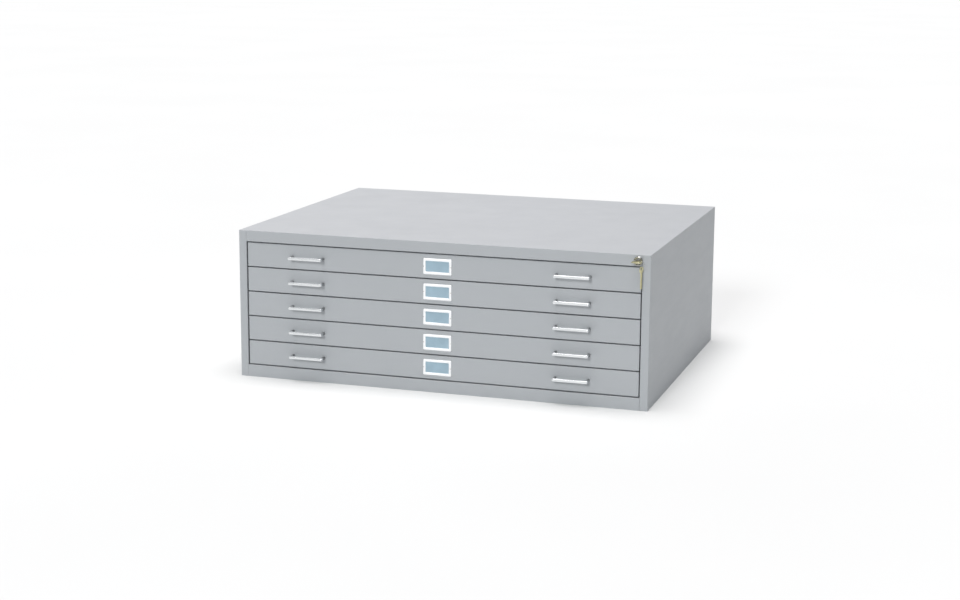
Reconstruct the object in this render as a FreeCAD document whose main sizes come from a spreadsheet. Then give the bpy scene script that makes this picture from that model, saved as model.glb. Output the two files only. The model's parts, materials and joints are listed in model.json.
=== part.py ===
import FreeCAD, Part
import Sketcher
import math
import os
import re

# Five-drawer flat file cabinet of folded sheet steel, in millimetres.
# Frame: +X to the right, +Y to the back, +Z up, seen from the drawer side.
# Origin: the centre of the underside. The drawer fronts face -Y.
# Each drawer is a folded pan behind a hemmed front. It runs on a pair of rollers at its own rear,
# inside guide rails, and on a pair of rollers at the front of those rails. A cylinder lock in the
# top rail moves a bar behind the right stile, whose fingers catch all five drawers.

DRAWER_COUNT = 5
KEY_TOOTH_COUNT = 4

SIZES = {
    # case
    "case_width": 1178.0,
    "case_depth": 898.5,
    "case_height": 419.1,
    "case_sheet": 1.2,
    "bend_radius": 2.0,
    "edge_radius": 1.0,
    "stile_width": 22.5,
    "rail_return": 20.0,
    "bottom_rail": 33.7,
    "rear_flange": 20.0,
    "back_flange": 18.0,
    "bottom_lip": 15.0,
    # drawer fronts
    "front_height": 67.26,
    "front_gap": 3.0,
    "front_recess": 2.0,
    "front_flange": 18.0,
    "drawer_sheet": 1.0,
    # trays
    "tray_half_width": 550.0,
    "tray_rear": 391.0,
    "tray_floor": 5.0,
    "tray_top": 58.0,
    "rim_width": 10.0,
    "hood_length": 80.0,
    "runner_height": 41.9,
    "runner_width": 13.0,
    "runner_leg": 11.0,
    "runner_sheet": 1.2,
    # guide rails and rollers
    "rail_reach": 16.2,
    "rail_flange": 12.2,
    "rail_floor": 19.4,
    "rail_section": 21.2,
    "rail_front": 420.0,
    "rail_rear": 425.0,
    "rail_upper_front": 390.0,
    "roller_radius": 9.0,
    "roller_bore": 3.05,
    "roller_inset": 4.5,
    "roller_width": 8.0,
    "roller_chamfer": 1.0,
    "hub_radius": 5.2,
    "hub_recess": 1.5,
    "roller_gap": 0.2,
    "rear_roller_y": 380.0,
    "rear_roller_rise": 30.0,
    "front_roller_y": 405.0,
    "front_roller_rise": 32.6,
    "axle_radius": 3.0,
    "axle_head_radius": 4.5,
    "axle_head": 1.0,
    "post_depth": 30.0,
    "rear_post_y": 395.0,
    # handles
    "handle_spread": 381.0,
    "handle_post": 46.0,
    "handle_radius": 4.0,
    "handle_reach": 24.0,
    "handle_corner": 7.0,
    "screw_radius": 2.0,
    "screw_head_radius": 4.0,
    "screw_head": 2.5,
    "screw_length": 11.0,
    "screw_clearance": 0.1,
    # label holders
    "label_width": 81.4,
    "label_height": 44.2,
    "label_depth": 3.0,
    "label_window_width": 66.5,
    "label_window_height": 30.0,
    "label_pocket_width": 74.0,
    "label_pocket_foot": 19.2,
    "label_pocket_depth": 1.4,
    "label_corner": 3.0,
    "label_edge": 0.8,
    "card_width": 73.0,
    "card_height": 37.0,
    "card_sheet": 0.8,
    "rivet_spread": 38.75,
    "rivet_radius": 0.9,
    "rivet_head_radius": 1.5,
    "rivet_head": 0.8,
    # depressor flaps
    "flap_half_width": 530.0,
    "flap_length": 60.0,
    "flap_sheet": 1.0,
    "flap_hem": 3.0,
    "flap_drop_angle": 42.0,
    "flap_hinge_setback": 28.25,
    "flap_hinge_rise": 48.0,
    "barrel_radius": 3.2,
    "barrel_bore": 2.1,
    "hinge_pin_radius": 2.0,
    # lock
    "lock_x": 555.0,
    "lock_drop": 17.1,
    "bezel_radius": 12.5,
    "bezel_depth": 3.0,
    "housing_radius": 9.5,
    "housing_hole": 9.6,
    "housing_length": 18.25,
    "plug_radius": 6.0,
    "plug_fit": 0.05,
    "plug_rear": 20.4,
    "plug_front": 3.75,
    "keyway_half_width": 4.15,
    "keyway_half_height": 1.1,
    "keyway_depth": 15.0,
    "cam_sheet": 2.0,
    "cam_hub_radius": 6.0,
    "cam_tip_radius": 4.0,
    "cam_arm_root": 5.4,
    "cam_arm_tip": 3.6,
    "cam_throw": 12.0,
    "cam_rest_angle": 45.0,
    "cam_pin_radius": 2.0,
    "cam_pin_length": 3.6,
    # lock bar
    "bar_setback": 24.75,
    "bar_sheet": 2.0,
    "bar_inner": 568.5,
    "bar_outer": 584.5,
    "bar_foot": 20.0,
    "bar_top_gap": 1.4,
    "bar_arm_inner": 560.0,
    "bar_arm_drop": 14.0,
    "finger_inner": 555.0,
    "finger_rise": 26.0,
    "finger_height": 6.0,
    "catch_setback": 26.45,
    "catch_sheet": 1.2,
    "catch_reach": 11.0,
    "catch_rise": 8.0,
    "catch_height": 9.0,
    "cam_slot_inner": 561.2,
    "cam_slot_outer": 570.5,
    "cam_slot_half_height": 2.7,
    "bar_travel": 17.0,
    "stud_x": 576.5,
    "stud_radius": 3.0,
    "stud_head_radius": 5.0,
    "stud_head": 1.5,
    "stud_length": 7.0,
    "lower_stud_height": 120.0,
    "upper_stud_height": 330.0,
    "slot_clearance": 0.5,
    # keys
    "key_sheet": 2.0,
    "key_neck": 5.0,
    "key_neck_half_width": 5.0,
    "key_bow_start": 8.0,
    "key_bow_end": 28.0,
    "key_bow_half_width": 14.0,
    "key_bow_corner": 7.5,
    "key_blade": 14.0,
    "key_blade_half_width": 4.0,
    "key_hole_radius": 4.0,
    "key_rim": 2.4,
    "ring_radius": 8.3,
    "ring_wire": 0.7,
    "ring_drop": 5.6,
    "spare_bow_radius": 9.0,
    "spare_hole_radius": 3.5,
    "spare_hole_drop": 2.45,
    "spare_bow_drop": 5.55,
    "spare_blade_half_width": 3.6,
    "spare_blade_start": 13.0,
    "spare_length": 56.0,
    "spare_tooth_depth": 1.6,
    "spare_tooth_pitch": 7.0,
    "spare_tooth_crest": 3.1,
    "spare_tooth_foot": 5.6,
    "spare_teeth_length": 30.8,
    "spare_turn": 72.0,
}

# Lengths that follow from the driving dimensions.
DERIVED = {
    "half_width": "case_width / 2",
    "half_depth": "case_depth / 2",
    "opening_half_width": "half_width - stile_width",
    "drawer_pitch": "front_height + front_gap",
    "opening_top": f"bottom_rail + {DRAWER_COUNT} * drawer_pitch + front_gap",
    "front_half_width": "opening_half_width - front_gap",
    "front_face": "half_depth - front_recess",
    "front_back": "front_face - front_flange",
    "front_middle": "front_height / 2",
    "rail_web": "tray_half_width + rail_reach - case_sheet",
    "roller_inner": "tray_half_width + roller_inset",
    "roller_outer": "roller_inner + roller_width",
    "lock_height": "case_height - lock_drop",
    "bar_back": "half_depth - bar_setback",
    "bar_top": "case_height - case_sheet - bar_top_gap",
    "cam_slot_height": "lock_height + cam_throw * sin(cam_rest_angle)",
    "key_rim_x": "lock_x + key_bow_half_width - key_rim / 2",
    "key_hole_y": "(key_bow_start + key_bow_end) / 2",
}

doc = FreeCAD.newDocument("flat_file_cabinet")
sheet = doc.addObject("Spreadsheet::Sheet", "Sizes")
for row, (alias, size) in enumerate(SIZES.items(), 1):
    sheet.set(f"A{row}", alias)
    sheet.set(f"B{row}", str(size))
    sheet.setAlias(f"B{row}", alias)
doc.recompute()


# ---------------------------------------------------------------- expressions

def bound(expression):
    """The spreadsheet form of an expression that is written with the names above."""
    def replace(match):
        word = match.group(0)
        if word in DERIVED:
            return f"({bound(DERIVED[word])})"
        return f"Sizes.{word}" if word in SIZES else word
    return re.sub(r"[a-z_]+", replace, expression)


def value(expression):
    """The present value of such an expression."""
    return float(sheet.evalExpression(bound(expression)))


def bind(target, prop, expression):
    target.setExpression(prop, bound(expression))


# ---------------------------------------------------------------- sketches and features

def new_body(name):
    body = doc.addObject("PartDesign::Body", name)
    body.Label = name
    return body


def new_sketch(body, name, plane, start):
    """A sketch on one of the body's own origin planes, moved along that plane's normal by start.
    The normal of XY_Plane is +Z, of XZ_Plane -Y (towards the drawer side) and of YZ_Plane +X."""
    sketch = body.newObject("Sketcher::SketchObject", name)
    support = [item for item in body.Origin.OriginFeatures if item.Role == plane][0]
    sketch.AttachmentSupport = [(support, "")]
    sketch.MapMode = "FlatFace"
    bind(sketch, "AttachmentOffset.Base.z", start)
    return sketch


def dimension(sketch, constraint, expression):
    index = sketch.addConstraint(constraint)
    bind(sketch, f"Constraints[{index}]", expression)


def place_point(sketch, geometry, vertex, x, y):
    """Ties one point of the sketch to the sketch's origin."""
    for kind, axis, expression in (("DistanceX", -2, x), ("DistanceY", -1, y)):
        if expression == "0":
            sketch.addConstraint(Sketcher.Constraint("PointOnObject", geometry, vertex, axis))
        else:
            constraint = Sketcher.Constraint(kind, -1, 1, geometry, vertex, value(expression))
            dimension(sketch, constraint, expression)


def draw_outline(sketch, corners):
    """A closed outline of straight lines through the corners."""
    points = [FreeCAD.Vector(value(x), value(y), 0) for x, y in corners]
    first = sketch.GeometryCount
    sketch.addGeometry([Part.LineSegment(a, b) for a, b in zip(points, points[1:] + points[:1])])
    for index in range(len(corners)):
        following = first + (index + 1) % len(corners)
        sketch.addConstraint(Sketcher.Constraint("Coincident", first + index, 2, following, 1))
    for index, (x, y) in enumerate(corners):
        place_point(sketch, first + index, 1, x, y)


def draw_circle(sketch, x, y, radius):
    centre = FreeCAD.Vector(value(x), value(y), 0)
    circle = sketch.addGeometry(Part.Circle(centre, FreeCAD.Vector(0, 0, 1), value(radius)))
    place_point(sketch, circle, 3, x, y)
    dimension(sketch, Sketcher.Constraint("Radius", circle, value(radius)), radius)


def rectangle(x_low, y_low, x_high, y_high):
    return [(x_low, y_low), (x_high, y_low), (x_high, y_high), (x_low, y_high)]


def extrude(body, name, plane, start, length, shapes, cut=False):
    """Pads or pockets shapes from start along the plane's normal. A shape is a list of corners,
    or a circle as (x, y, radius)."""
    sketch = new_sketch(body, f"{name}_sketch", plane, start)
    for shape in shapes:
        if isinstance(shape, tuple):
            draw_circle(sketch, *shape)
        else:
            draw_outline(sketch, shape)
    volume_before = body.Shape.Volume if cut else 0
    feature = body.newObject("PartDesign::Pocket" if cut else "PartDesign::Pad", name)
    feature.Profile = sketch
    feature.Reversed = cut
    bind(feature, "Length", length)
    doc.recompute()
    if cut and body.Shape.Volume >= volume_before:
        raise RuntimeError(f"{body.Label}: {name} removes nothing")
    return feature


def round_edges(body, name, radius, chosen):
    """Fillets the edges of the body for which chosen(box of the edge) is true."""
    names = [f"Edge{index}" for index, edge in enumerate(body.Shape.Edges, 1) if chosen(edge.BoundBox)]
    base = body.Tip
    feature = body.newObject("PartDesign::Fillet", name)
    feature.Base = (base, names)
    bind(feature, "Radius", radius)
    doc.recompute()


def near(a, b):
    return abs(a - b) < 1e-4


def along(box, axis):
    """True for an edge that runs straight along one axis."""
    lengths = {"X": box.XLength, "Y": box.YLength, "Z": box.ZLength}
    return all((length > 1e-4) == (name == axis) for name, length in lengths.items())


def place(part, x="0", y="0", z="0"):
    for axis, expression in zip("xyz", (x, y, z)):
        bind(part, f"Placement.Base.{axis}", expression)


def mirrored(source):
    """The left-hand twin of a right-hand piece."""
    twin = doc.addObject("Part::Mirroring", f"{source.Name}_left")
    twin.Source = source
    twin.Normal = FreeCAD.Vector(1, 0, 0)
    return twin


def group(name, pieces, z="0"):
    """One sub-part made of several separate solids."""
    compound = doc.addObject("Part::Compound", name)
    compound.Label = name
    compound.Links = pieces
    place(compound, z=z)
    return compound


def both_sides(name, right_pieces, z="0"):
    return group(name, [twin for piece in right_pieces for twin in (piece, mirrored(piece))], z)


def drawer_base(drawer):
    """Height of the lower edge of a drawer's front. Drawer 1 is the top one."""
    return f"bottom_rail + front_gap + {DRAWER_COUNT - drawer} * drawer_pitch"


# ---------------------------------------------------------------- case

def top_panel():
    """Flat top whose front edge turns down as the top rail, bored for the lock."""
    body = new_body("top_panel")
    extrude(body, "top_sheet", "XY_Plane", "case_height - case_sheet", "case_sheet",
            [rectangle("-half_width", "-half_depth", "half_width", "half_depth")])
    round_edges(body, "corner_bends", "bend_radius", lambda box: along(box, "Z"))
    top = value("case_height")
    round_edges(body, "top_edge", "edge_radius", lambda box: near(box.ZMin, top) and near(box.ZMax, top))
    extrude(body, "top_rail", "YZ_Plane", "-opening_half_width", "2 * opening_half_width",
            [[("-half_depth", "case_height - case_sheet"),
              ("-half_depth", "opening_top"),
              ("-half_depth + rail_return", "opening_top"),
              ("-half_depth + rail_return", "opening_top + case_sheet"),
              ("-half_depth + case_sheet", "opening_top + case_sheet"),
              ("-half_depth + case_sheet", "case_height - case_sheet")]])
    lower = value("opening_top")
    front = value("-half_depth")
    round_edges(body, "rail_bend", "bend_radius",
                lambda box: along(box, "X") and near(box.ZMin, lower) and near(box.YMin, front))
    extrude(body, "lock_hole", "XZ_Plane", "half_depth - 2 * case_sheet", "3 * case_sheet",
            [("lock_x", "lock_height", "housing_hole")], cut=True)
    return body


def side_panel(side, sign):
    """Side wall folded at the front into the stile and its return, and at the rear into a flange."""
    body = new_body(f"{side}_side_panel")
    section = [("opening_half_width", "-half_depth"),
               ("half_width", "-half_depth"),
               ("half_width", "half_depth"),
               ("half_width - rear_flange", "half_depth"),
               ("half_width - rear_flange", "half_depth - case_sheet"),
               ("half_width - case_sheet", "half_depth - case_sheet"),
               ("half_width - case_sheet", "-half_depth + case_sheet"),
               ("opening_half_width + case_sheet", "-half_depth + case_sheet"),
               ("opening_half_width + case_sheet", "-half_depth + rail_return"),
               ("opening_half_width", "-half_depth + rail_return")]
    extrude(body, "folded_wall", "XY_Plane", "0", "case_height - case_sheet",
            [[(f"{sign} * ({x})", y) for x, y in section]])
    outer = value("half_width")
    inner = value("opening_half_width")
    reach = value("half_depth")
    round_edges(body, "outer_bends", "bend_radius",
                lambda box: along(box, "Z") and near(abs(box.XMin), outer) and near(abs(box.YMin), reach))
    round_edges(body, "stile_bend", "bend_radius",
                lambda box: along(box, "Z") and near(abs(box.XMin), inner) and near(box.YMin, -reach))
    extrude(body, "bottom_notch", "XY_Plane", "0", "case_sheet",
            [[(f"{sign} * ({x})", y) for x, y in
              rectangle("opening_half_width - case_sheet", "-half_depth + case_sheet",
                        "half_width - case_sheet", "half_depth - case_sheet")]], cut=True)
    return body


def back_panel():
    """Back sheet inside the side walls' rear flanges, with flanges along its top and bottom."""
    body = new_body("back_panel")
    extrude(body, "folded_back", "YZ_Plane", "-half_width + case_sheet", "2 * (half_width - case_sheet)",
            [[("half_depth - case_sheet", "case_sheet"),
              ("half_depth - case_sheet", "case_height - case_sheet"),
              ("half_depth - back_flange", "case_height - case_sheet"),
              ("half_depth - back_flange", "case_height - 2 * case_sheet"),
              ("half_depth - 2 * case_sheet", "case_height - 2 * case_sheet"),
              ("half_depth - 2 * case_sheet", "2 * case_sheet"),
              ("half_depth - back_flange", "2 * case_sheet"),
              ("half_depth - back_flange", "case_sheet")]])
    return body


def bottom_panel():
    """Floor of the case with a lip turned up behind the bottom rail."""
    body = new_body("bottom_panel")
    extrude(body, "folded_floor", "YZ_Plane", "-half_width + case_sheet", "2 * (half_width - case_sheet)",
            [[("-half_depth + case_sheet", "0"),
              ("half_depth - case_sheet", "0"),
              ("half_depth - case_sheet", "case_sheet"),
              ("-half_depth + case_sheet", "case_sheet")]])
    extrude(body, "front_lip", "YZ_Plane", "-opening_half_width", "2 * opening_half_width",
            [rectangle("-half_depth + case_sheet", "case_sheet",
                       "-half_depth + 2 * case_sheet", "bottom_lip")])
    return body


def bottom_rail():
    """Rail below the lowest drawer: a channel that stands on the floor of the case."""
    body = new_body("bottom_rail")
    extrude(body, "folded_rail", "YZ_Plane", "-opening_half_width", "2 * opening_half_width",
            [[("-half_depth", "0"),
              ("-half_depth + case_sheet", "0"),
              ("-half_depth + case_sheet", "bottom_rail - case_sheet"),
              ("-half_depth + rail_return - case_sheet", "bottom_rail - case_sheet"),
              ("-half_depth + rail_return - case_sheet", "case_sheet"),
              ("-half_depth + rail_return", "case_sheet"),
              ("-half_depth + rail_return", "bottom_rail"),
              ("-half_depth", "bottom_rail")]])
    front = value("-half_depth")
    upper = value("bottom_rail")
    round_edges(body, "rail_bend", "bend_radius",
                lambda box: along(box, "X") and near(box.YMin, front) and near(box.ZMin, upper))
    return body


def upright(name, low_y):
    """Channel post between the right side wall and the guide rails."""
    body = new_body(name)
    high_y = f"{low_y} + post_depth"
    web = "tray_half_width + rail_reach"
    wall = "half_width - case_sheet"
    extrude(body, "channel", "XY_Plane", "case_sheet", "case_height - 2 * case_sheet",
            [[(web, low_y), (wall, low_y), (wall, f"{low_y} + case_sheet"),
              (f"{web} + case_sheet", f"{low_y} + case_sheet"),
              (f"{web} + case_sheet", f"{high_y} - case_sheet"),
              (wall, f"{high_y} - case_sheet"), (wall, high_y), (web, high_y)]])
    return body


def bar_stud(name, height):
    """Headed stud on the right front upright that guides the lock bar."""
    body = new_body(name)
    extrude(body, "shank", "XZ_Plane", "rail_front", "stud_length + stud_head",
            [("stud_x", height, "stud_radius")])
    extrude(body, "head", "XZ_Plane", "rail_front + stud_length", "stud_head",
            [("stud_x", height, "stud_head_radius")])
    return body


def uprights():
    posts = [upright("front_post", "-rail_front"), upright("rear_post", "rear_post_y")]
    studs = [bar_stud("lower_stud", "lower_stud_height"), bar_stud("upper_stud", "upper_stud_height")]
    return group("uprights", posts + [mirrored(post) for post in posts] + studs)


def guide_rail(drawer):
    """Right guide rail of one drawer: a channel open towards the drawer. Its upper flange stops
    behind the front roller, which stands above it."""
    body = new_body(f"rail_{drawer}")
    flange_edge = "rail_web + case_sheet - rail_flange"
    rail_top = "rail_floor + rail_section"
    extrude(body, "web_and_floor", "XZ_Plane", "-rail_rear", "rail_rear + rail_front",
            [[(flange_edge, "rail_floor"), ("rail_web + case_sheet", "rail_floor"),
              ("rail_web + case_sheet", rail_top), ("rail_web", rail_top),
              ("rail_web", "rail_floor + case_sheet"), (flange_edge, "rail_floor + case_sheet")]])
    extrude(body, "upper_flange", "XZ_Plane", "-rail_rear", "rail_rear + rail_upper_front",
            [rectangle(flange_edge, f"{rail_top} - case_sheet", "rail_web", rail_top)])
    place(body, z=drawer_base(drawer))
    return body


def axle(name, foot, roller_near, roller_far, tip):
    """Stud along X with a collar between its foot and the roller, and a head past the roller."""
    body = new_body(name)
    direction = 1 if value(tip) > value(foot) else -1

    def pad_between(feature, low, high, radius):
        start, end = (low, high) if direction > 0 else (high, low)
        extrude(body, feature, "YZ_Plane", start, f"({end}) - ({start})", [("0", "0", radius)])

    pad_between("shank", foot, tip, "axle_radius")
    pad_between("collar", foot, roller_near, "axle_head_radius")
    pad_between("head", roller_far, tip, "axle_head_radius")
    return body


def front_axle(drawer):
    """Axle stud of the right front roller, riveted to the guide rail."""
    body = axle(f"front_axle_{drawer}", "rail_web", "roller_outer + roller_gap",
                "roller_inner - roller_gap", "roller_inner - roller_gap - axle_head")
    place(body, y="-front_roller_y", z=f"{drawer_base(drawer)} + front_roller_rise")
    return body


def guide_rails():
    pieces = []
    for drawer in range(1, DRAWER_COUNT + 1):
        pieces += [guide_rail(drawer), front_axle(drawer)]
    return both_sides("guide_rails", pieces)


# ---------------------------------------------------------------- drawers

def tray(drawer):
    """Folded pan with a rim round its top, a hood over its rear, a runner along each side and, on
    the right, the catch that the lock bar blocks."""
    body = new_body(f"tray_{drawer}")
    inner = "tray_half_width - drawer_sheet"
    extrude(body, "pan", "XY_Plane", "tray_floor", "tray_top - tray_floor - drawer_sheet",
            [rectangle("-tray_half_width", "-front_back", "tray_half_width", "tray_rear")])
    extrude(body, "inside", "XY_Plane", "tray_floor + drawer_sheet", "tray_top - tray_floor",
            [rectangle(f"-({inner})", "-front_back + drawer_sheet", inner, "tray_rear - drawer_sheet")],
            cut=True)
    extrude(body, "rim_and_hood", "XY_Plane", "tray_top - drawer_sheet", "drawer_sheet",
            [rectangle("-tray_half_width", "-front_back", "tray_half_width", "tray_rear"),
             rectangle("-tray_half_width + rim_width", "-front_back + rim_width",
                       "tray_half_width - rim_width", "tray_rear - hood_length")])
    runner = [("tray_half_width", "runner_height"),
              ("tray_half_width + runner_width", "runner_height"),
              ("tray_half_width + runner_width", "runner_height + runner_sheet"),
              ("tray_half_width + runner_sheet", "runner_height + runner_sheet"),
              ("tray_half_width + runner_sheet", "runner_height + runner_leg"),
              ("tray_half_width", "runner_height + runner_leg")]
    extrude(body, "runners", "XZ_Plane", "-tray_rear", "tray_rear + front_back - 2 * drawer_sheet",
            [runner, [(f"-({x})", z) for x, z in runner]])
    extrude(body, "lock_catch", "XZ_Plane", "half_depth - catch_setback", "catch_sheet",
            [rectangle("tray_half_width", "catch_rise",
                       "tray_half_width + catch_reach", "catch_rise + catch_height")])
    place(body, z=drawer_base(drawer))
    return body


def drawer_front(drawer):
    """Front pan with all four edges turned back, drilled for the handles and the label holder."""
    body = new_body(f"front_{drawer}")
    extrude(body, "pan", "XZ_Plane", "front_back", "front_flange",
            [rectangle("-front_half_width", "0", "front_half_width", "front_height")])
    face = -value("front_face")
    round_edges(body, "face_bends", "bend_radius",
                lambda box: near(box.YMin, face) and near(box.YMax, face))
    inner = "front_half_width - drawer_sheet"
    extrude(body, "hollow", "XZ_Plane", "front_back", "front_flange - drawer_sheet",
            [rectangle(f"-({inner})", "drawer_sheet", inner, "front_height - drawer_sheet")], cut=True)
    screw_hole = "screw_radius + screw_clearance"
    rivet_hole = "rivet_radius + screw_clearance"
    holes = [(f"{sign}handle_spread {offset} handle_post", "front_middle", screw_hole)
             for sign in ("", "-") for offset in ("-", "+")]
    holes += [(f"{sign}rivet_spread", "front_middle", rivet_hole) for sign in ("", "-")]
    extrude(body, "holes", "XZ_Plane", "front_face - 2 * drawer_sheet", "3 * drawer_sheet", holes, cut=True)
    place(body, z=drawer_base(drawer))
    return body


def handle_path(body):
    """Centre line of a bow handle: out from the front, across, and back, with round corners."""
    sketch = new_sketch(body, "handle_path", "XY_Plane", "0")
    bar_end = "handle_post - handle_corner"
    post_end = "-handle_reach + handle_corner"
    runs = [(("-handle_post", "0"), ("-handle_post", post_end)),
            ((f"-({bar_end})", "-handle_reach"), (bar_end, "-handle_reach")),
            (("handle_post", post_end), ("handle_post", "0"))]
    for start, end in runs:
        points = [FreeCAD.Vector(value(x), value(y), 0) for x, y in (start, end)]
        line = sketch.addGeometry(Part.LineSegment(*points))
        place_point(sketch, line, 1, *start)
        place_point(sketch, line, 2, *end)
    corner = value("handle_corner")
    for sign, first_angle, joined in ((-1, 180, ((0, 2), (1, 1))), (1, 270, ((1, 2), (2, 1)))):
        centre = FreeCAD.Vector(sign * value(bar_end), value(post_end), 0)
        circle = Part.Circle(centre, FreeCAD.Vector(0, 0, 1), corner)
        angles = [math.radians(first_angle), math.radians(first_angle + 90)]
        arc = sketch.addGeometry(Part.ArcOfCircle(circle, *angles))
        for vertex, (line, line_vertex) in zip((1, 2), joined):
            sketch.addConstraint(Sketcher.Constraint("Coincident", arc, vertex, line, line_vertex))
        dimension(sketch, Sketcher.Constraint("Radius", arc, corner), "handle_corner")
    return sketch


def handle(drawer):
    """Right bow handle, a bent round bar drilled up each post for its screw."""
    body = new_body(f"handle_{drawer}")
    path = handle_path(body)
    profile = new_sketch(body, "handle_section", "XZ_Plane", "0")
    draw_circle(profile, "-handle_post", "0", "handle_radius")
    doc.recompute()
    pipe = body.newObject("PartDesign::AdditivePipe", "bent_bar")
    pipe.Profile = profile
    pipe.Spine = (path, [f"Edge{index}" for index in range(1, len(path.Geometry) + 1)])
    doc.recompute()
    extrude(body, "screw_holes", "XZ_Plane", "0", "screw_length + drawer_sheet",
            [(f"{sign}handle_post", "0", "screw_radius + screw_clearance") for sign in ("", "-")], cut=True)
    place(body, "handle_spread", "-front_face", "front_middle")
    return body


def handles(drawer):
    return both_sides(f"handles_{drawer}", [handle(drawer)], drawer_base(drawer))


def label_holder(drawer):
    """Framed holder riveted to the front, open at the top for the card."""
    body = new_body(f"label_holder_{drawer}")
    extrude(body, "plate", "XZ_Plane", "0", "label_depth",
            [rectangle("-label_width / 2", "-label_height / 2", "label_width / 2", "label_height / 2")])
    round_edges(body, "corners", "label_corner", lambda box: along(box, "Y"))
    face = -value("label_depth")
    round_edges(body, "face_edge", "label_edge", lambda box: near(box.YMin, face) and near(box.YMax, face))
    extrude(body, "card_pocket", "XZ_Plane", "0", "label_pocket_depth",
            [rectangle("-label_pocket_width / 2", "-label_pocket_foot",
                       "label_pocket_width / 2", "label_height")], cut=True)
    extrude(body, "window", "XZ_Plane", "0", "2 * label_depth",
            [rectangle("-label_window_width / 2", "-label_window_height / 2",
                       "label_window_width / 2", "label_window_height / 2")], cut=True)
    extrude(body, "rivet_holes", "XZ_Plane", "0", "2 * label_depth",
            [(f"{sign}rivet_spread", "0", "rivet_radius + screw_clearance") for sign in ("", "-")], cut=True)
    place(body, y="-front_face", z=f"{drawer_base(drawer)} + front_middle")
    return body


def label_card(drawer):
    """Blank card that slides into the holder."""
    body = new_body(f"label_card_{drawer}")
    extrude(body, "card", "XZ_Plane", "screw_clearance", "card_sheet",
            [rectangle("-card_width / 2", "-card_height / 2", "card_width / 2", "card_height / 2")])
    place(body, y="-front_face", z=f"{drawer_base(drawer)} + front_middle")
    return body


def depressor(drawer):
    """Flap hinged behind the front that keeps sheets flat. It hangs on the floor of the tray."""
    body = new_body(f"depressor_{drawer}")
    extrude(body, "barrel", "YZ_Plane", "-flap_half_width", "2 * flap_half_width",
            [("0", "0", "barrel_radius")])
    extrude(body, "flap", "YZ_Plane", "-flap_half_width", "2 * flap_half_width",
            [[("barrel_bore", "-flap_sheet / 2"),
              ("flap_length - flap_hem", "-flap_sheet / 2"),
              ("flap_length - flap_hem", "-flap_sheet * 3 / 2"),
              ("flap_length", "-flap_sheet * 3 / 2"),
              ("flap_length", "flap_sheet / 2"),
              ("barrel_bore", "flap_sheet / 2")]])
    extrude(body, "pin_hole", "YZ_Plane", "-flap_half_width", "2 * flap_half_width",
            [("0", "0", "barrel_bore")], cut=True)
    body.Placement.Rotation = FreeCAD.Rotation(FreeCAD.Vector(1, 0, 0), -value("flap_drop_angle"))
    place(body, y="-half_depth + flap_hinge_setback", z=f"{drawer_base(drawer)} + flap_hinge_rise")
    return body


def roller(name, y, rise):
    """Right roller of a pair, turned about X, with a recess round its hub."""
    body = new_body(name)
    sketch = new_sketch(body, f"{name}_profile", "XY_Plane", "0")
    draw_outline(sketch, [("roller_inner", "roller_bore"),
                          ("roller_inner", "hub_radius"),
                          ("roller_inner + hub_recess", "hub_radius"),
                          ("roller_inner + hub_recess", "roller_radius - 2 * roller_chamfer"),
                          ("roller_inner", "roller_radius - 2 * roller_chamfer"),
                          ("roller_inner", "roller_radius - roller_chamfer"),
                          ("roller_inner + roller_chamfer", "roller_radius"),
                          ("roller_outer - roller_chamfer", "roller_radius"),
                          ("roller_outer", "roller_radius - roller_chamfer"),
                          ("roller_outer", "roller_bore")])
    turned = body.newObject("PartDesign::Revolution", "turned")
    turned.Profile = sketch
    turned.ReferenceAxis = (sketch, ["H_Axis"])
    turned.Angle = 360
    place(body, y=y, z=rise)
    return body


def rollers(position, drawer, y, rise):
    right = roller(f"{position}_roller_{drawer}", y, rise)
    return both_sides(f"{position}_rollers_{drawer}", [right], drawer_base(drawer))


def headed_pin(name, x, y, z, radius, head_radius, head, length, head_forward):
    """Screw or rivet along Y. The head lies before or behind the given point."""
    body = new_body(name)
    start = f"-({length})" if head_forward else "0"
    extrude(body, "shank", "XZ_Plane", start, length, [("0", "0", radius)])
    head_start = "0" if head_forward else f"-({head})"
    extrude(body, "head", "XZ_Plane", head_start, head, [("0", "0", head_radius)])
    place(body, x, y, z)
    return body


def fixings(drawer):
    """Handle screws, label rivets, the axle studs of the rear rollers and the flap's hinge pin."""
    screws = [headed_pin(f"screw_{end}_{drawer}", f"handle_spread {offset} handle_post",
                         "-front_face + drawer_sheet", "front_middle", "screw_radius",
                         "screw_head_radius", "screw_head", "screw_length", False)
              for end, offset in (("inner", "-"), ("outer", "+"))]
    rivet = headed_pin(f"rivet_{drawer}", "rivet_spread", "-front_face - label_depth", "front_middle",
                       "rivet_radius", "rivet_head_radius", "rivet_head",
                       "label_depth + drawer_sheet", True)
    rear_axle = axle(f"rear_axle_{drawer}", "tray_half_width", "roller_inner - roller_gap",
                     "roller_outer + roller_gap", "roller_outer + roller_gap + axle_head")
    place(rear_axle, y="rear_roller_y", z="rear_roller_rise")
    pin = new_body(f"hinge_pin_{drawer}")
    extrude(pin, "rod", "YZ_Plane", "-tray_half_width + drawer_sheet",
            "2 * (tray_half_width - drawer_sheet)", [("0", "0", "hinge_pin_radius")])
    place(pin, y="-half_depth + flap_hinge_setback", z="flap_hinge_rise")
    pieces = screws + [rivet, rear_axle]
    return group(f"fixings_{drawer}", pieces + [mirrored(piece) for piece in pieces] + [pin],
                 drawer_base(drawer))


# ---------------------------------------------------------------- lock and keys

def at_lock(part):
    place(part, "lock_x", "-half_depth", "lock_height")
    return part


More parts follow.
